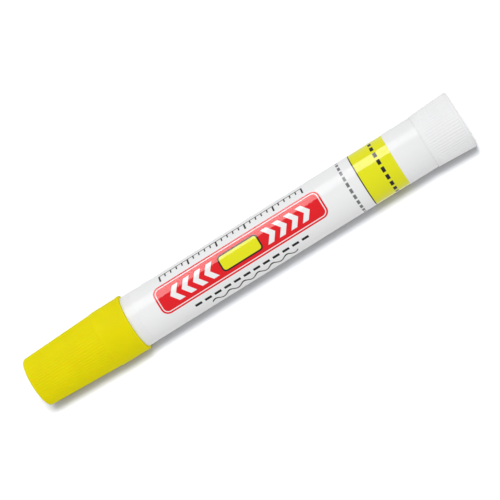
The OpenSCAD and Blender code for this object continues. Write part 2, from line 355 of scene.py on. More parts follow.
def turn(bm, facets):
    """Turns a drawn section into a closed solid of revolution"""
    bmesh.ops.delete(bm, geom=bm.faces[:], context="FACES_ONLY")
    on_axis = [
        edge for edge in bm.edges if all(vert.co.z - AXIS_HEIGHT < WELD for vert in edge.verts)
    ]
    bmesh.ops.delete(bm, geom=on_axis, context="EDGES")
    bmesh.ops.spin(
        bm,
        geom=bm.verts[:] + bm.edges[:],
        cent=(0.0, 0.0, AXIS_HEIGHT),
        axis=(1.0, 0.0, 0.0),
        angle=math.tau,
        steps=facets,
        use_merge=True,
    )
    bmesh.ops.remove_doubles(bm, verts=bm.verts, dist=WELD)
    bmesh.ops.recalc_face_normals(bm, faces=bm.faces)


# Dimple of a moulding gate: the stub in its middle and the edge of its floor, as shares of the dimple's
# depth and radius, and the roundings of its edges
GATE_STUB_DEPTH = 0.35
GATE_STUB_TOP = 0.24
GATE_STUB_FOOT = 0.3
GATE_FLOOR = 0.82
GATE_STUB_ROUND = 0.03 * MM
GATE_FLOOR_ROUND = 0.05 * MM
GATE_RIM_ROUND = 0.08 * MM


def gate(face, inward, radius, depth):
    """Corners of the dimple that the moulding gate leaves in the middle of an end face

    The list runs outwards from the axis. Inward is 1 where the solid lies towards +X of the face.
    """
    floor = face + inward * depth
    stub = face + inward * depth * GATE_STUB_DEPTH
    return [
        (stub, 0.0, 0.0),
        (stub, radius * GATE_STUB_TOP, GATE_STUB_ROUND),
        (floor, radius * GATE_STUB_FOOT, 0.0),
        (floor, radius * GATE_FLOOR, GATE_FLOOR_ROUND),
        (face, radius, GATE_RIM_ROUND),
    ]


def press_ribs(bm, ribs, depth, first, last, bore):
    """Presses the grooves between the ribs into a grip, from one station to another

    The grooves run out at both ends, and only the skin outside the bore's radius is pressed.
    """
    pitch = math.tau / ribs.count
    for vert in bm.verts:
        radius, angle = polar(vert.co)
        ease = min(1.0, (vert.co.x - first) / ribs.run_out, (last - vert.co.x) / ribs.run_out)
        if ease <= 0 or radius < bore:
            continue
        away = abs(angle / pitch - round(angle / pitch)) * pitch * radius
        groove = 0.5 + 0.5 * math.cos(math.pi * min(1.0, away / ribs.half_width))
        put(vert, radius - depth * groove * ease, angle)


def press_slots(bm, count, half_width, bore, floor, first, last):
    """Presses straight slots into a bore by moving the bore's vertices out to the slots' floor

    The bore is given as the least and the greatest radius of the vertices that belong to it.
    """
    pitch = math.tau / count
    for vert in bm.verts:
        radius, angle = polar(vert.co)
        if not (first <= vert.co.x <= last and bore[0] <= radius <= bore[1]):
            continue
        nearest = round(angle / pitch) * pitch
        if abs(math.sin(angle - nearest)) * radius <= half_width:
            put(vert, floor, angle)


def piece_from(bm, name, finish, body, nodes):
    """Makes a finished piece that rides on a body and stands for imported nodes"""
    mesh = bpy.data.meshes.new(name)
    bm.to_mesh(mesh)
    bm.free()
    mesh.shade_smooth()
    mesh.set_sharp_from_angle(angle=SHARP_EDGE)
    mesh.materials.append(finish)
    piece = bpy.data.objects.new(name, mesh)
    bpy.context.scene.collection.objects.link(piece)
    shading = piece.modifiers.new("Even shading", "WEIGHTED_NORMAL")
    shading.keep_sharp = True
    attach(piece, body)
    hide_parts(*nodes)


# Finishes

class Finish:
    """A procedural material in the making, with short ways to add and join its nodes"""

    # Range that most values of a noise lie in, and the places of the colours among a mix node's sockets
    NOISE_LOW, NOISE_HIGH = 0.3, 0.7
    FIRST_COLOUR, SECOND_COLOUR, MIXED_COLOUR = 6, 7, 2

    def __init__(self, name):
        self.material = bpy.data.materials.new(name)
        self.material.use_nodes = True
        self.tree = self.material.node_tree
        self.shader = self.tree.nodes["Principled BSDF"]
        self.place = self.add("ShaderNodeTexCoord").outputs["Object"]

    def add(self, kind, **choices):
        """Adds a node and sets its choices"""
        node = self.tree.nodes.new(kind)
        for name, choice in choices.items():
            setattr(node, name, choice)
        return node

    def feed(self, socket, value):
        """Joins a socket to another node, or sets it to a plain value"""
        if isinstance(value, bpy.types.NodeSocket):
            self.tree.links.new(value, socket)
        else:
            socket.default_value = value

    def set(self, **values):
        """Sets or joins the shader's own sockets, with spaces in their names written as underscores"""
        for name, value in values.items():
            self.feed(self.shader.inputs[name.replace("_", " ")], value)

    def math(self, operation, *values, clamp=False):
        """Number worked out from others"""
        node = self.add("ShaderNodeMath", operation=operation, use_clamp=clamp)
        for socket, value in zip(node.inputs, values):
            self.feed(socket, value)
        return node.outputs["Value"]

    def vector(self, operation, *values):
        """Vector worked out from others"""
        node = self.add("ShaderNodeVectorMath", operation=operation)
        for socket, value in zip(node.inputs, values):
            self.feed(socket, value)
        return node.outputs["Value" if operation == "LENGTH" else "Vector"]

    def noise(self, size, detail=2.0, roughness=0.5, stretch=None):
        """Cloudy value with features of about the given size, stretched along the axes if asked"""
        place = self.place if stretch is None else self.vector("MULTIPLY", self.place, stretch)
        node = self.add("ShaderNodeTexNoise")
        self.feed(node.inputs["Vector"], place)
        node.inputs["Scale"].default_value = 1 / size
        node.inputs["Detail"].default_value = detail
        node.inputs["Roughness"].default_value = roughness
        return node.outputs["Fac"]

    def spread(self, value, low, high):
        """Cloudy value brought from the middle of its range to the given limits"""
        node = self.add("ShaderNodeMapRange")
        self.feed(node.inputs["Value"], value)
        node.inputs["From Min"].default_value = self.NOISE_LOW
        node.inputs["From Max"].default_value = self.NOISE_HIGH
        node.inputs["To Min"].default_value = low
        node.inputs["To Max"].default_value = high
        return node.outputs["Result"]

    def mix(self, share, first, second):
        """Colour that goes from the first to the second"""
        node = self.add("ShaderNodeMix", data_type="RGBA")
        self.feed(node.inputs["Factor"], share)
        for place, shade in ((self.FIRST_COLOUR, first), (self.SECOND_COLOUR, second)):
            joined = isinstance(shade, bpy.types.NodeSocket)
            self.feed(node.inputs[place], shade if joined else opaque(shade))
        return node.outputs[self.MIXED_COLOUR]

    def bump(self, height, depth):
        """Small relief of the given depth, joined to the shader"""
        node = self.add("ShaderNodeBump")
        node.inputs["Distance"].default_value = depth
        self.feed(node.inputs["Height"], height)
        self.set(Normal=node.outputs["Normal"])


def opaque(shade, level=1.0):
    """Colour with full cover, made lighter or darker by a level"""
    return (*(min(1.0, part * level) for part in shade[:3]), 1.0)


# Size of the flow clouds in moulded plastic, and how far the grain makes its roughness stray
FLOW_CLOUDS = 9 * MM
GRAIN_SHEEN = 0.05


def moulded_plastic(name, shade, roughness, grain, depth, variation=0.03, **sockets):
    """Moulded plastic: faint flow clouds in the colour, and a fine grain in the sheen and the surface

    The grain is given by its size and depth, and the variation is the clouds' share of the colour.
    """
    finish = Finish(name)
    clouds = finish.noise(FLOW_CLOUDS, detail=3.0)
    fine = finish.noise(grain, detail=3.0, roughness=0.6)
    tint = finish.spread(clouds, 0.0, 1.0)
    finish.set(
        Base_Color=finish.mix(tint, opaque(shade, 1 - variation), opaque(shade, 1 + variation)),
        Roughness=finish.spread(fine, roughness - GRAIN_SHEEN, roughness + GRAIN_SHEEN),
        **sockets,
    )
    finish.bump(fine, depth)
    return finish.material


def waxy_paint(paint):
    """Solid paint: streaks along the stick from the casting tube, under patches of paler dry bloom"""
    finish = Finish("paint")
    streaks = finish.noise(size=0.7 * MM, detail=4.0, roughness=0.6, stretch=(0.05, 1.0, 1.0))
    patches = finish.noise(size=3 * MM, detail=4.0, roughness=0.6)
    dark, pale = opaque(paint.paint, level=0.92), opaque(paint.paint, level=1.03)
    body = finish.mix(finish.spread(streaks, 0.0, 1.0), dark, pale)
    smooth, dry = paint.roughness - 0.06, paint.roughness + 0.1
    finish.set(
        Base_Color=finish.mix(finish.spread(patches, low=0.0, high=0.3), body, paint.bloom),
        Roughness=finish.spread(patches, smooth, dry),
        Subsurface_Weight=0.3,
        Subsurface_Radius=(1.0, 0.6, 0.1),
        Subsurface_Scale=1.5 * MM,
        Specular_IOR_Level=0.35,
    )
    finish.bump(streaks, depth=0.04 * MM)
    return finish.material


# Print on the film

# Softness of a printed edge: an ink's cover rises over one part in so many of a millimetre
EDGE_CRISPNESS = 11.0

# How far a chevron's arms lean back for each millimetre away from its point
CHEVRON_SLOPE = 0.75

# Middle of the print along the film, which its motifs are laid out about
PRINT_MIDDLE = 36.0


class FilmPrint:
    """A print in the making, laid ink by ink on a flat map of the film

    The map runs in millimetres: along from the cap's end of the film, and across from the line that
    faces the camera, upwards. A shape is a distance inside its edge, which is negative outside it.
    """

    def __init__(self, finish, bare):
        self.finish = finish
        self.shade = bare
        self.inked = 0.0
        flat = finish.add("ShaderNodeUVMap", uv_map="print").outputs["UV"]
        split = finish.add("ShaderNodeSeparateXYZ")
        self.place = finish.vector("MULTIPLY", flat, (1 / MM, 1 / MM, 0.0))
        finish.feed(split.inputs["Vector"], self.place)
        self.along = split.outputs["X"]
        self.across = split.outputs["Y"]

    def lay(self, shape, ink):
        """Lays an ink over what is printed so far, inside a shape"""
        cover = self.finish.math("MULTIPLY_ADD", shape, EDGE_CRISPNESS, 0.5, clamp=True)
        self.shade = self.finish.mix(cover, self.shade, ink)
        self.inked = self.either(self.inked, cover)

    def both(self, first, second):
        """Shape where two shapes overlap"""
        return self.finish.math("MINIMUM", first, second)

    def either(self, first, second):
        """Shape of two shapes together"""
        return self.finish.math("MAXIMUM", first, second)

    def outside(self, shape):
        """Shape of all that lies outside another"""
        return self.finish.math("MULTIPLY", shape, -1.0)

    def away(self, value, middle):
        """Distance from a middle, the same on both sides of it"""
        return self.finish.math("ABSOLUTE", self.finish.math("SUBTRACT", value, middle))

    def line(self, value, middle, width):
        """Straight line of a width"""
        return self.finish.math("SUBTRACT", width / 2, self.away(value, middle))

    def within(self, value, low, high):
        """Straight strip between two limits"""
        return self.line(value, (low + high) / 2, high - low)

    def row(self, value, start, pitch, width):
        """Endless row of lines, each in the middle of its pitch"""
        cell = self.finish.math("FLOORED_MODULO", self.finish.math("SUBTRACT", value, start), pitch)
        return self.line(cell, pitch / 2, width)

    def box(self, middle, half_size, corner):
        """Box with round corners"""
        core = (half_size[0] - corner, half_size[1] - corner, 0.0)
        away = self.finish.vector("ABSOLUTE", self.finish.vector("SUBTRACT", self.place, (*middle, 0.0)))
        past = self.finish.vector("MAXIMUM", self.finish.vector("SUBTRACT", away, core), (0.0, 0.0, 0.0))
        return self.finish.math("SUBTRACT", corner, self.finish.vector("LENGTH", past))

    def arrows(self, middle, first, last, half_height, pitch, width):
        """Two rows of chevrons that point away from a middle, from a first to a last distance"""
        off = self.away(self.across, middle[1])
        folded = self.finish.math("MULTIPLY_ADD", off, CHEVRON_SLOPE, self.away(self.along, middle[0]))
        marks = self.both(self.row(folded, first, pitch, width), self.within(folded, first, last))
        return self.both(marks, self.finish.math("SUBTRACT", half_height, off))

    def wave(self, start, end, middle, swing, period, width):
        """Wavy stroke along the film"""
        phase = self.finish.math("MULTIPLY_ADD", self.along, math.tau / period, -start * math.tau / period)
        crest = self.finish.math("MULTIPLY_ADD", self.finish.math("SINE", phase), swing, middle)
        stroke = self.line(self.finish.math("SUBTRACT", self.across, crest), 0.0, width)
        return self.both(stroke, self.within(self.along, start, end))


def lay_panel(ink, label):
    """Panel with a pin line inside its edge, and a swatch of the paint between two rows of chevrons"""
    middle = (PRINT_MIDDLE, 0.9)
    half_length, half_height, corner = 29.0, 4.6, 2.4
    line_outside, line_inside = 0.55, 0.85

    def inset(margin):
        """Shape of the panel, drawn in by a margin"""
        return ink.box(middle, (half_length - margin, half_height - margin), corner - margin)

    ink.lay(inset(0.0), label.panel)
    ink.lay(ink.both(inset(line_outside), ink.outside(inset(line_inside))), label.film)
    ink.lay(ink.arrows(middle, first=9.4, last=25.4, half_height=2.5, pitch=4.0, width=2.0), label.film)
    ink.lay(ink.box(middle, half_size=(7.0, 2.7), corner=1.3), label.dark)
    ink.lay(ink.box(middle, half_size=(6.5, 2.2), corner=0.9), label.band)


def lay_scale(ink, label):
    """Scale above the panel: ticks that hang from a line, with a longer one at each ten millimetres"""
    line, half_span, end_margin = 9.4, 25.0, 0.28
    first, last = PRINT_MIDDLE - half_span, PRINT_MIDDLE + half_span

    def ticks(pitch, width, drop):
        """Ticks of one length, of which one stands at the start of the scale"""
        row = ink.row(ink.along, first - pitch / 2, pitch, width)
        return ink.both(row, ink.within(ink.across, line - drop, line))

    marks = ink.either(ticks(pitch=2.0, width=0.42, drop=1.6), ticks(pitch=10.0, width=0.55, drop=2.6))
    marks = ink.either(marks, ink.line(ink.across, line, width=0.4))
    ink.lay(ink.both(marks, ink.within(ink.along, first - end_margin, last + end_margin)), label.dark)


def lay_strokes(ink, label):
    """Row of dashes and a wavy stroke below the panel"""
    half_row, half_wave = 20.4, 15.0
    start, end = PRINT_MIDDLE - half_row, PRINT_MIDDLE + half_row
    dashes = ink.both(ink.row(ink.along, start, pitch=3.4, width=2.3), ink.within(ink.along, start, end))
    ink.lay(ink.both(dashes, ink.line(ink.across, middle=-6.1, width=0.95)), label.dark)
    first, last = PRINT_MIDDLE - half_wave, PRINT_MIDDLE + half_wave
    ink.lay(ink.wave(first, last, middle=-8.7, swing=0.75, period=5.0, width=0.65), label.dark)


def lay_band(ink, label):
    """Band in the paint's colour at the tail, with a dark edge and dashes, and a fine ring before it"""
    ring, start, dashed, bleed = 73.65, 77.65, 84.95, 1.0
    fine = ink.row(ink.across, start=0.0, pitch=2.1, width=1.45)
    ink.lay(ink.both(fine, ink.line(ink.along, ring, width=0.9)), label.grey)
    ink.lay(ink.within(ink.along, start, LABEL_LENGTH + bleed), label.band)
    bold = ink.row(ink.across, start=0.7, pitch=2.6, width=1.7)
    dashes = ink.both(bold, ink.line(ink.along, dashed, width=1.1))
    ink.lay(ink.either(ink.line(ink.along, start, width=0.35), dashes), label.dark)


def printed_film(label):
    """Glossy white film with a plain workshop print"""
    finish = Finish("label_film")
    clouds = finish.noise(size=14 * MM)
    dark, pale = opaque(label.film, level=0.985), opaque(label.film, level=1.01)
    ink = FilmPrint(finish, finish.mix(finish.spread(clouds, 0.0, 1.0), dark, pale))
    for motif in (lay_panel, lay_scale, lay_strokes, lay_band):
        motif(ink, label)
    smooth, dull = label.roughness - 0.03, label.roughness + 0.04
    finish.set(
        Base_Color=ink.shade,
        Roughness=finish.spread(finish.noise(size=3 * MM), smooth, dull),
        Specular_IOR_Level=0.11,
        Coat_Weight=finish.math("MULTIPLY", ink.inked, label.varnish),
        Coat_Roughness=label.varnish_roughness,
    )
    finish.bump(clouds, depth=0.02 * MM)
    return finish.material


# Operators

class MARKING_STICK_OT_cap(bpy.types.Operator):
    """Make the pull-off cap with its ribbed grip and smooth collar"""

    bl_idname = "marking_stick.cap"
    bl_label = "Make Cap"

    # Roundings at the foot and the top of the collar's step, at the bead and at the floor of the inside,
    # and where the bead's slope starts, in widths of the bead
    FOOT_ROUND = 0.06 * MM
    STEP_ROUND = 0.12 * MM
    BEAD_ROUND = 0.2 * MM
    FLOOR_ROUND = 0.5 * MM
    BEAD_START = 1.5

    def execute(self, context):
        cap, ribs = settings().cap, settings().ribs
        bead_radius = reach("cap_shell")
        seat = reach("cap_seal")
        foot = CAP_RIM - cap.collar_length
        taper = (cap.grip_radius - cap.end_radius) / (foot - CAP_END)
        first_rib = CAP_END + cap.end_round
        floor = CAP_END + cap.end_wall
        bm = bmesh.new()
        draw_outline(bm, gate(CAP_END, 1, cap.gate_radius, cap.gate_depth) + [
            (CAP_END, cap.end_radius, cap.end_round),
            (first_rib + ribs.run_out, cap.end_radius + taper * (cap.end_round + ribs.run_out), 0.0),
            (foot - ribs.run_out, cap.grip_radius - taper * ribs.run_out, 0.0),
            (foot, cap.grip_radius, self.FOOT_ROUND),
            (foot + cap.step, cap.collar_radius, self.STEP_ROUND),
            (CAP_RIM - self.BEAD_START * cap.bead, cap.collar_radius, self.BEAD_ROUND),
            (CAP_RIM - cap.bead, bead_radius, self.BEAD_ROUND),
            (CAP_RIM, bead_radius, cap.rim_round),
            (CAP_RIM, seat + cap.rim_chamfer, 0.0),
            (CAP_RIM - cap.rim_chamfer, seat, 0.0),
            (SEAL_BACK, seat, 0.0),
            (SEAL_BACK, cap.bore_wide, 0.0),
            (floor, cap.bore_narrow, self.FLOOR_ROUND),
            (floor, 0.0, 0.0),
        ])
        turn(bm, ribs.count * RIB_FACETS)
        press_ribs(bm, ribs, cap.rib_depth, first_rib, foot, cap.bore_wide)
        finish = moulded_plastic(
            "cap_plastic", cap.plastic, cap.roughness, grain=0.35 * MM, depth=0.002 * MM,
            Subsurface_Weight=0.35,
            Subsurface_Radius=(1.0, 0.4, 0.05),
            Subsurface_Scale=1.2 * MM,
            Specular_IOR_Level=0.015,
        )
        piece_from(bm, "cap", finish, "cap_body", ["cap_shell"])
        return {"FINISHED"}


class MARKING_STICK_OT_seal(bpy.types.Operator):
    """Make the soft ring that seals the cap on the neck"""

    bl_idname = "marking_stick.seal"
    bl_label = "Make Cap Seal"

    # Roundings of the lip, the mouth, the end of the lead-in and the corner behind the lip
    LIP_ROUND = 0.12 * MM
    MOUTH_ROUND = 0.08 * MM
    LEAD_IN_ROUND = 0.15 * MM
    CORNER_ROUND = 0.1 * MM

    def execute(self, context):
        seal = settings().seal
        outside = reach("cap_seal")
        mouth = (seal.bore_radius + outside) / 2
        bm = bmesh.new()
        draw_outline(bm, [
            (SEAL_BACK, seal.lip_radius, self.LIP_ROUND),
            (SEAL_BACK, outside, 0.0),
            (SEAL_FRONT, outside, 0.0),
            (SEAL_FRONT, mouth, self.MOUTH_ROUND),
            (SEAL_FRONT - seal.lead_in, seal.bore_radius, self.LEAD_IN_ROUND),
            (SEAL_BACK + seal.lip, seal.bore_radius, self.CORNER_ROUND),
            (SEAL_BACK + seal.lip, seal.lip_radius, self.LIP_ROUND),
        ])
        turn(bm, PLAIN_FACETS)
        finish = moulded_plastic(
            "seal_plastic", seal.plastic, roughness=0.5, grain=0.3 * MM, depth=0.004 * MM,
            Subsurface_Weight=0.3,
            Subsurface_Radius=(1.0, 0.9, 0.7),
            Subsurface_Scale=0.8 * MM,
            Specular_IOR_Level=0.35,
        )
        piece_from(bm, "seal_ring", finish, "cap_body", ["cap_seal"])
        return {"FINISHED"}


class MARKING_STICK_OT_barrel(bpy.types.Operator):
    """Make the barrel with its neck, label recess and keyed bore"""

    bl_idname = "marking_stick.barrel"
    bl_label = "Make Barrel"

    # Roundings of the nose's bore, the ring groove, the foot of the neck, the film's recess and the tail
    NOSE_ROUND = 0.15 * MM
    GROOVE_ROUND = 0.1 * MM
    NECK_ROUND = 0.15 * MM
    RECESS_ROUND = 0.04 * MM
    TAIL_ROUND = 0.1 * MM

    # The keyways, the plain bore in front of them, and how far past a keyway's edge, inside the bore and
    # outside the bush's seat a vertex may lie and still be pressed
    KEYWAYS = 4
    KEYWAY_LEAD = 0.1 * MM
    EDGE_MARGIN = 0.02 * MM
    BORE_MARGIN = 0.05 * MM
    SEAT_MARGIN = 0.15 * MM

    def execute(self, context):
        barrel = settings().barrel
        outside = reach("barrel")
        film_seat = outside - barrel.film_depth
        shoulder = CAP_RIM + barrel.rim_gap
        tail = KNOB_SEAM - barrel.seam_gap
        groove = shoulder - barrel.groove_place
        depth = barrel.groove_depth
        groove_floor = barrel.neck_radius - depth
        wall_end = shoulder + barrel.front_wall
        bore_start = wall_end + barrel.bore - barrel.nose_bore
        keyway_start = bore_start + self.KEYWAY_LEAD
        bm = bmesh.new()
        draw_outline(bm, [
            (MOUTH, barrel.nose_bore, self.NOSE_ROUND),
            (MOUTH, barrel.neck_radius, barrel.mouth_round),
            (groove - 2 * depth, barrel.neck_radius, self.GROOVE_ROUND),
            (groove - depth, groove_floor, self.GROOVE_ROUND),
            (groove + depth, groove_floor, self.GROOVE_ROUND),
            (groove + 2 * depth, barrel.neck_radius, self.GROOVE_ROUND),
            (shoulder, barrel.neck_radius, self.NECK_ROUND),
            (shoulder, outside, barrel.seam_round),
            (LABEL_START, outside, self.RECESS_ROUND),
            (LABEL_START, film_seat, 0.0),
            (LABEL_END, film_seat, 0.0),
            (LABEL_END, outside, self.RECESS_ROUND),
            (tail, outside, barrel.seam_round),
            (tail, barrel.bush_seat, self.TAIL_ROUND),
            (BUSH_FRONT, barrel.bush_seat, 0.0),
            (BUSH_FRONT, barrel.bore, 0.0),
            (keyway_start, barrel.bore, 0.0),
            (bore_start, barrel.bore, 0.0),
            (wall_end, barrel.nose_bore, 0.0),
        ])
        turn(bm, PLAIN_FACETS)
        bore_band = (barrel.bore - self.BORE_MARGIN, barrel.bush_seat + self.SEAT_MARGIN)
        press_slots(
            bm, self.KEYWAYS, barrel.keyway_half_width + self.EDGE_MARGIN, bore_band, barrel.keyway_radius,
            keyway_start - WELD, tail + WELD,
        )
        finish = moulded_plastic(
            "barrel_plastic", barrel.plastic, roughness=0.16, grain=0.5 * MM, depth=0.003 * MM,
            variation=0.012,
            Subsurface_Weight=0.1,
            Subsurface_Radius=(1.0, 0.95, 0.9),
            Subsurface_Scale=0.8 * MM,
            Specular_IOR_Level=0.11,
        )
        piece_from(bm, "barrel_tube", finish, "barrel_body", ["barrel"])
        return {"FINISHED"}


class MARKING_STICK_OT_label(bpy.types.Operator):
    """Make the printed film that is wrapped round the barrel and laps over itself at the back"""

    bl_idname = "marking_stick.label"
    bl_label = "Make Label"

    # Faces along the film, and the gap under its lap
    LENGTH_FACES = 24
    LAP_GAP = 0.01 * MM

    def execute(self, context):
        label = settings().label
        inside = reach("label") - label.thickness
        girth = math.tau * inside
        half_length = (LABEL_END - LABEL_START) / 2
        half_wrap = (girth + label.overlap) / 2
        bm = bmesh.new()
        bmesh.ops.create_grid(bm, x_segments=self.LENGTH_FACES, y_segments=PLAIN_FACETS, size=1.0)
        flat = bm.verts.layers.float_vector.new("flat")
        for vert in bm.verts:
            along = (vert.co.x + 1) * half_length
            across = vert.co.y * half_wrap
            vert[flat] = (along, across, 0.0)
            # The lapping end climbs over the start of the film within the overlap's own length
            climb = max(0.0, across - (girth - half_wrap - label.overlap)) / label.overlap
            lift = (label.thickness + self.LAP_GAP) * (1 - math.cos(math.pi * min(1.0, climb))) / 2
            vert.co.x = LABEL_START + along
            put(vert, inside + lift, PRINT_ANGLE - across / inside)
        bmesh.ops.recalc_face_normals(bm, faces=bm.faces)
        middle = min(bm.faces, key=lambda face: abs(face.calc_center_median().x))
        outward = middle.calc_center_median() - Vector((0.0, 0.0, AXIS_HEIGHT))
        outward.x = 0.0
        if middle.normal.dot(outward) < 0:
            bmesh.ops.reverse_faces(bm, faces=bm.faces)
        bmesh.ops.solidify(bm, geom=bm.faces[:], thickness=label.thickness)
        print_map = bm.loops.layers.uv.new("print")
        for face in bm.faces:
            for loop in face.loops:
                loop[print_map].uv = loop.vert[flat].xy
        bm.verts.layers.float_vector.remove(flat)
        piece_from(bm, "print_film", printed_film(label), "barrel_body", ["label"])
        return {"FINISHED"}


class MARKING_STICK_OT_knob(bpy.types.Operator):
    """Make the ribbed twist knob with the hub that holds the drive tube"""

    bl_idname = "marking_stick.knob"
    bl_label = "Make Knob"

    # Roundings inside the mouth and at the floor of the hollow
    MOUTH_ROUND = 0.1 * MM
    FLOOR_ROUND = 0.2 * MM

    # Slots in the hub, how far from the hub's bore a vertex may lie and be pressed into a slot, and how far
    # outside the hollow the skin starts that is pressed into ribs
    KEY_SLOTS = 2
    BORE_MARGIN = 0.05 * MM
    SKIN_MARGIN = 0.2 * MM

    def execute(self, context):
        knob, ribs = settings().knob, settings().ribs
        outside = reach("twist_knob")
        floor = KNOB_END - knob.end_wall
        foot = KNOB_SEAM + knob.band
        slope = (outside - knob.seam_radius) / (KNOB_END - KNOB_SEAM)
        last_rib = KNOB_END - knob.end_round
        bm = bmesh.new()
        dimple = gate(KNOB_END, -1, knob.gate_radius, knob.gate_depth)
        draw_outline(bm, dimple + [
            (KNOB_END, outside, knob.end_round),
            (last_rib - ribs.run_out, outside - slope * (knob.end_round + ribs.run_out), 0.0),
            (foot + ribs.run_out, knob.seam_radius + slope * (knob.band + ribs.run_out), 0.0),
            (foot, knob.seam_radius + slope * knob.band, 0.0),
            (KNOB_SEAM, knob.seam_radius, knob.seam_round),
            (KNOB_SEAM, knob.bore, self.MOUTH_ROUND),
            (floor, knob.bore, self.FLOOR_ROUND),
            (floor, knob.hub_radius, self.FLOOR_ROUND),
            (KNOB_SEAM, knob.hub_radius, self.MOUTH_ROUND),
            (KNOB_SEAM, knob.hub_bore, 0.0),
            (floor, knob.hub_bore, 0.0),
            (floor, 0.0, 0.0),
        ])
        turn(bm, ribs.count * RIB_FACETS)
        press_ribs(bm, ribs, knob.rib_depth, foot, last_rib, knob.bore + self.SKIN_MARGIN)
        hub_band = (knob.hub_bore - self.BORE_MARGIN, knob.hub_bore + self.BORE_MARGIN)
        press_slots(
            bm, self.KEY_SLOTS, knob.key_half_width, hub_band, knob.key_radius, KNOB_SEAM - WELD, KNOB_END
        )
        finish = moulded_plastic(
            "knob_plastic", knob.plastic, knob.roughness, grain=0.35 * MM, depth=0.002 * MM,
            variation=0.012,
            Subsurface_Weight=0.15,
            Subsurface_Radius=(1.0, 0.95, 0.9),
            Subsurface_Scale=0.8 * MM,
            Specular_IOR_Level=0.04,
        )
        piece_from(bm, "knob", finish, "drive_body", ["twist_knob"])
        return {"FINISHED"}


class MARKING_STICK_OT_paint(bpy.types.Operator):
    """Make the stick of solid paint with its bullet tip"""

    bl_idname = "marking_stick.paint"
    bl_label = "Make Paint"

    def execute(self, context):
        paint = settings().paint
        side = reach("paint_stick")
        drop = side - paint.tip_flat
        bullet = (paint.tip_length ** 2 + drop ** 2) / (2 * drop)
        sweep = math.asin(paint.tip_length / bullet)
        shoulder = TIP + paint.tip_length
        bm = bmesh.new()
        draw_outline(bm, [
            (shoulder, 0.0, 0.0),
            (shoulder, side, 0.0),
            (PAINT_BASE, side, paint.base_round),
            (PAINT_BASE, 0.0, 0.0),
        ])
        # The bullet is swept as an arc from the shoulder, and a last edge closes the flat at the tip
        corner = max(bm.verts, key=lambda vert: (vert.co.z, -vert.co.x))
        arc = bmesh.ops.spin(
            bm,
            geom=[corner],
            cent=(shoulder, 0.0, AXIS_HEIGHT + side - bullet),
            axis=(0.0, 1.0, 0.0),
            angle=-sweep,
            steps=BULLET_STEPS,
        )
        tip = [part for part in arc["geom_last"] if isinstance(part, bmesh.types.BMVert)][0]
        middle = bm.verts.new((tip.co.x, 0.0, AXIS_HEIGHT))
        bm.edges.new((tip, middle))
        foot = min(bm.verts, key=lambda vert: (vert.co - Vector((shoulder, 0.0, AXIS_HEIGHT))).length)
        bmesh.ops.delete(bm, geom=[foot], context="VERTS")
        turn(bm, PLAIN_FACETS)
        piece_from(bm, "paint", waxy_paint(paint), "feed_body", ["paint_stick"])
        return {"FINISHED"}


class MARKING_STICK_OT_drive(bpy.types.Operator):
    """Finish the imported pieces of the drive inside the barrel"""

    bl_idname = "marking_stick.drive"
    bl_label = "Finish Drive"

    def execute(self, context):
        drive = settings().drive
        natural = moulded_plastic(
            "mechanism_plastic", drive.natural, roughness=0.45, grain=0.4 * MM, depth=0.004 * MM,
            Subsurface_Weight=0.2,
            Subsurface_Radius=(1.0, 0.95, 0.85),
            Subsurface_Scale=0.8 * MM,
            Specular_IOR_Level=0.35,
        )
        hard = moulded_plastic(
            "nut_plastic", drive.hard, roughness=0.32, grain=0.4 * MM, depth=0.003 * MM,
            Specular_IOR_Level=0.35,
        )
        rubber = moulded_plastic(
            "ring_rubber", drive.rubber, roughness=0.7, grain=0.15 * MM, depth=0.01 * MM, variation=0.1,
            Specular_IOR_Level=0.25,
        )
        finishes = {
            "tail_bush": natural,
            "drive_tube": natural,
            "carrier": natural,
            "drive_nut": hard,
            "lead_screw": hard,
            "friction_ring": rubber,
        }
        for node, finish in finishes.items():
            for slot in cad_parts[node].material_slots:
                slot.material = finish
        return {"FINISHED"}


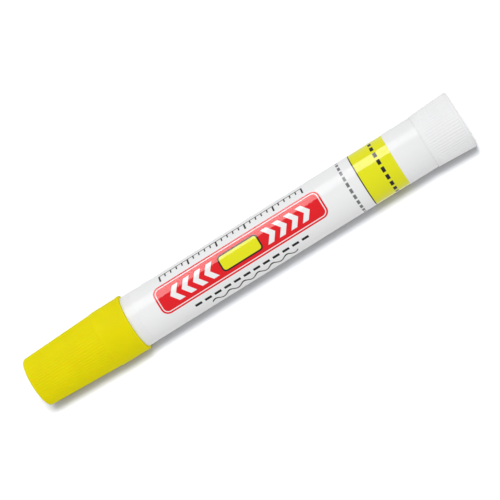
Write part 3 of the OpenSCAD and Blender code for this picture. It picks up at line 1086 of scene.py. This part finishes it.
class MARKING_STICK_OT_stage(bpy.types.Operator):
    """Set the floor, the tent, the light panels and the camera"""

    bl_idname = "marking_stick.stage"
    bl_label = "Set Stage"

    # Clouds in the floor's paper, and how dark they are
    FLOOR_CLOUDS = 0.25
    FLOOR_CLOUD_LEVEL = 0.995

    # Upward direction of the tent, which leans to the front, and the colour of its cloth
    TENT_LEAN = Vector((0.0, -0.34, 0.94))
    TENT_CLOTH = (0.99, 0.995, 1.0)

    # Places and sizes of the light panels
    STRIP_PLACE = Vector((-0.12, 0.17, 1.05))
    STRIP_SIZE = (0.8, 0.65)
    FLOOR_PANEL_PLACE = Vector((0.25, -0.71, 2.4))
    FLOOR_PANEL_SIZE = (0.75, 0.95)
    FRONT_PANEL_PLACE = Vector((0.25, -1.55, 1.65))
    FRONT_PANEL_SIZE = (1.0, 1.0)

    # Place of the camera, its turns about X, Y and Z, and the nearest distance that it sees
    CAMERA = Vector((0.06509, -0.4009, 0.4393))
    TURNS = (math.radians(43.0), 0.108, -0.557)
    NEAREST = 0.01

    def execute(self, context):
        stage = settings().stage
        scene = context.scene
        floor = self.lay_floor(scene, stage)
        self.pitch_tent(scene, stage)
        strip = self.hang_panel(scene, "strip_panel", self.STRIP_PLACE, self.STRIP_SIZE, stage.strip_power)
        strip.visible_diffuse = False
        lit = bpy.data.collections.new("lit_by_floor_panels")
        lit.objects.link(floor)
        for name, place, size, watts in (
            ("floor_panel", self.FLOOR_PANEL_PLACE, self.FLOOR_PANEL_SIZE, stage.floor_power),
            ("front_panel", self.FRONT_PANEL_PLACE, self.FRONT_PANEL_SIZE, stage.front_power),
        ):
            panel = self.hang_panel(scene, name, place, size, watts)
            panel.light_linking.receiver_collection = lit
        self.aim_camera(scene, stage)
        scene.view_settings.view_transform = "Standard"
        return {"FINISHED"}

    def lay_floor(self, scene, stage):
        """Plain pale floor that takes shadows, while the light from below is the tent's"""
        bm = bmesh.new()
        bmesh.ops.create_grid(bm, x_segments=1, y_segments=1, size=stage.floor_half)
        mesh = bpy.data.meshes.new("floor")
        bm.to_mesh(mesh)
        bm.free()
        finish = Finish("floor_paper")
        clouds = finish.spread(finish.noise(self.FLOOR_CLOUDS), 0.0, 1.0)
        finish.set(
            Base_Color=finish.mix(clouds, opaque(stage.floor, self.FLOOR_CLOUD_LEVEL), stage.floor),
            Roughness=0.9,
            Specular_IOR_Level=0.1,
        )
        mesh.materials.append(finish.material)
        floor = bpy.data.objects.new("floor", mesh)
        floor.visible_diffuse = False
        floor.visible_glossy = False
        floor.visible_shadow = False
        scene.collection.objects.link(floor)
        return floor

    def pitch_tent(self, scene, stage):
        """Soft light from all round, stronger from above, as in a tent of white cloth

        Gloss mirrors the cloth as an even white, so that outlines stay bright all round.
        """
        tent = bpy.data.worlds.new("tent")
        tent.use_nodes = True
        nodes, links = tent.node_tree.nodes, tent.node_tree.links
        direction = nodes.new("ShaderNodeTexCoord")
        height = nodes.new("ShaderNodeVectorMath")
        height.operation = "DOT_PRODUCT"
        height.inputs[1].default_value = self.TENT_LEAN
        blend = nodes.new("ShaderNodeMapRange")
        blend.interpolation_type = "SMOOTHSTEP"
        blend.inputs["From Min"].default_value = -stage.tent_blend
        blend.inputs["From Max"].default_value = stage.tent_blend
        blend.inputs["To Min"].default_value = stage.tent_foot
        blend.inputs["To Max"].default_value = stage.tent_top
        links.new(direction.outputs["Generated"], height.inputs[0])
        links.new(height.outputs["Value"], blend.inputs["Value"])
        rays = nodes.new("ShaderNodeLightPath")
        seen = nodes.new("ShaderNodeMix")
        mirrored, lighting, surround = seen.inputs[0], seen.inputs[2], seen.inputs[3]
        surround.default_value = stage.tent_gloss
        links.new(rays.outputs["Is Glossy Ray"], mirrored)
        links.new(blend.outputs["Result"], lighting)
        links.new(seen.outputs[0], nodes["Background"].inputs["Strength"])
        nodes["Background"].inputs["Color"].default_value = opaque(self.TENT_CLOTH)
        scene.world = tent

    def hang_panel(self, scene, name, place, size, watts):
        """Rectangular light panel that faces the middle of the floor"""
        lamp = bpy.data.lights.new(name, "AREA")
        lamp.shape = "RECTANGLE"
        lamp.size, lamp.size_y = size
        lamp.energy = watts
        panel = bpy.data.objects.new(name, lamp)
        panel.location = place
        panel.rotation_euler = (-place).to_track_quat("-Z", "Y").to_euler()
        scene.collection.objects.link(panel)
        return panel

    def aim_camera(self, scene, stage):
        """Camera above the stick, rolled so that the stick lies across the picture"""
        lens = bpy.data.cameras.new("camera")
        lens.lens = stage.lens
        lens.clip_start = self.NEAREST
        camera = bpy.data.objects.new("camera", lens)
        scene.collection.objects.link(camera)
        about_x, about_y, about_z = self.TURNS
        turned = (
            Matrix.Rotation(about_x, 4, "X")
            @ Matrix.Rotation(about_y, 4, "Y")
            @ Matrix.Rotation(about_z, 4, "Z")
        )
        camera.matrix_world = Matrix.Translation(self.CAMERA) @ turned
        scene.camera = camera


OPERATORS = (
    MARKING_STICK_OT_cap,
    MARKING_STICK_OT_seal,
    MARKING_STICK_OT_barrel,
    MARKING_STICK_OT_label,
    MARKING_STICK_OT_knob,
    MARKING_STICK_OT_paint,
    MARKING_STICK_OT_drive,
    MARKING_STICK_OT_stage,
)


class MARKING_STICK_PT_build(bpy.types.Panel):
    """Settings of the marking stick, and a button for each piece"""

    bl_label = "Marking Stick"
    bl_idname = "MARKING_STICK_PT_build"
    bl_space_type = "VIEW_3D"
    bl_region_type = "UI"
    bl_category = "Marking Stick"

    def draw(self, context):
        for operator in OPERATORS:
            self.layout.operator(operator.bl_idname)
        for name in SETTING_GROUPS:
            group = getattr(context.scene.marking_stick, name)
            box = self.layout.box()
            box.label(text=name.capitalize())
            for key in type(group).__annotations__:
                box.prop(group, key)


CLASSES = (*SETTING_GROUPS.values(), StickSettings, *OPERATORS, MARKING_STICK_PT_build)


def register():
    """Registers the classes and hangs the settings on the scene"""
    for cls in CLASSES:
        bpy.utils.register_class(cls)
    bpy.types.Scene.marking_stick = bpy.props.PointerProperty(
        type=StickSettings, name="Marking stick", description="Settings of the marking stick"
    )


def unregister():
    """Takes the settings off the scene and unregisters the classes"""
    del bpy.types.Scene.marking_stick
    for cls in reversed(CLASSES):
        bpy.utils.unregister_class(cls)


def main():
    """Makes every piece in order"""
    register()
    bpy.ops.marking_stick.cap()
    bpy.ops.marking_stick.seal()
    bpy.ops.marking_stick.barrel()
    bpy.ops.marking_stick.label()
    bpy.ops.marking_stick.knob()
    bpy.ops.marking_stick.paint()
    bpy.ops.marking_stick.drive()
    bpy.ops.marking_stick.stage()


if __name__ == "__main__":
    main()
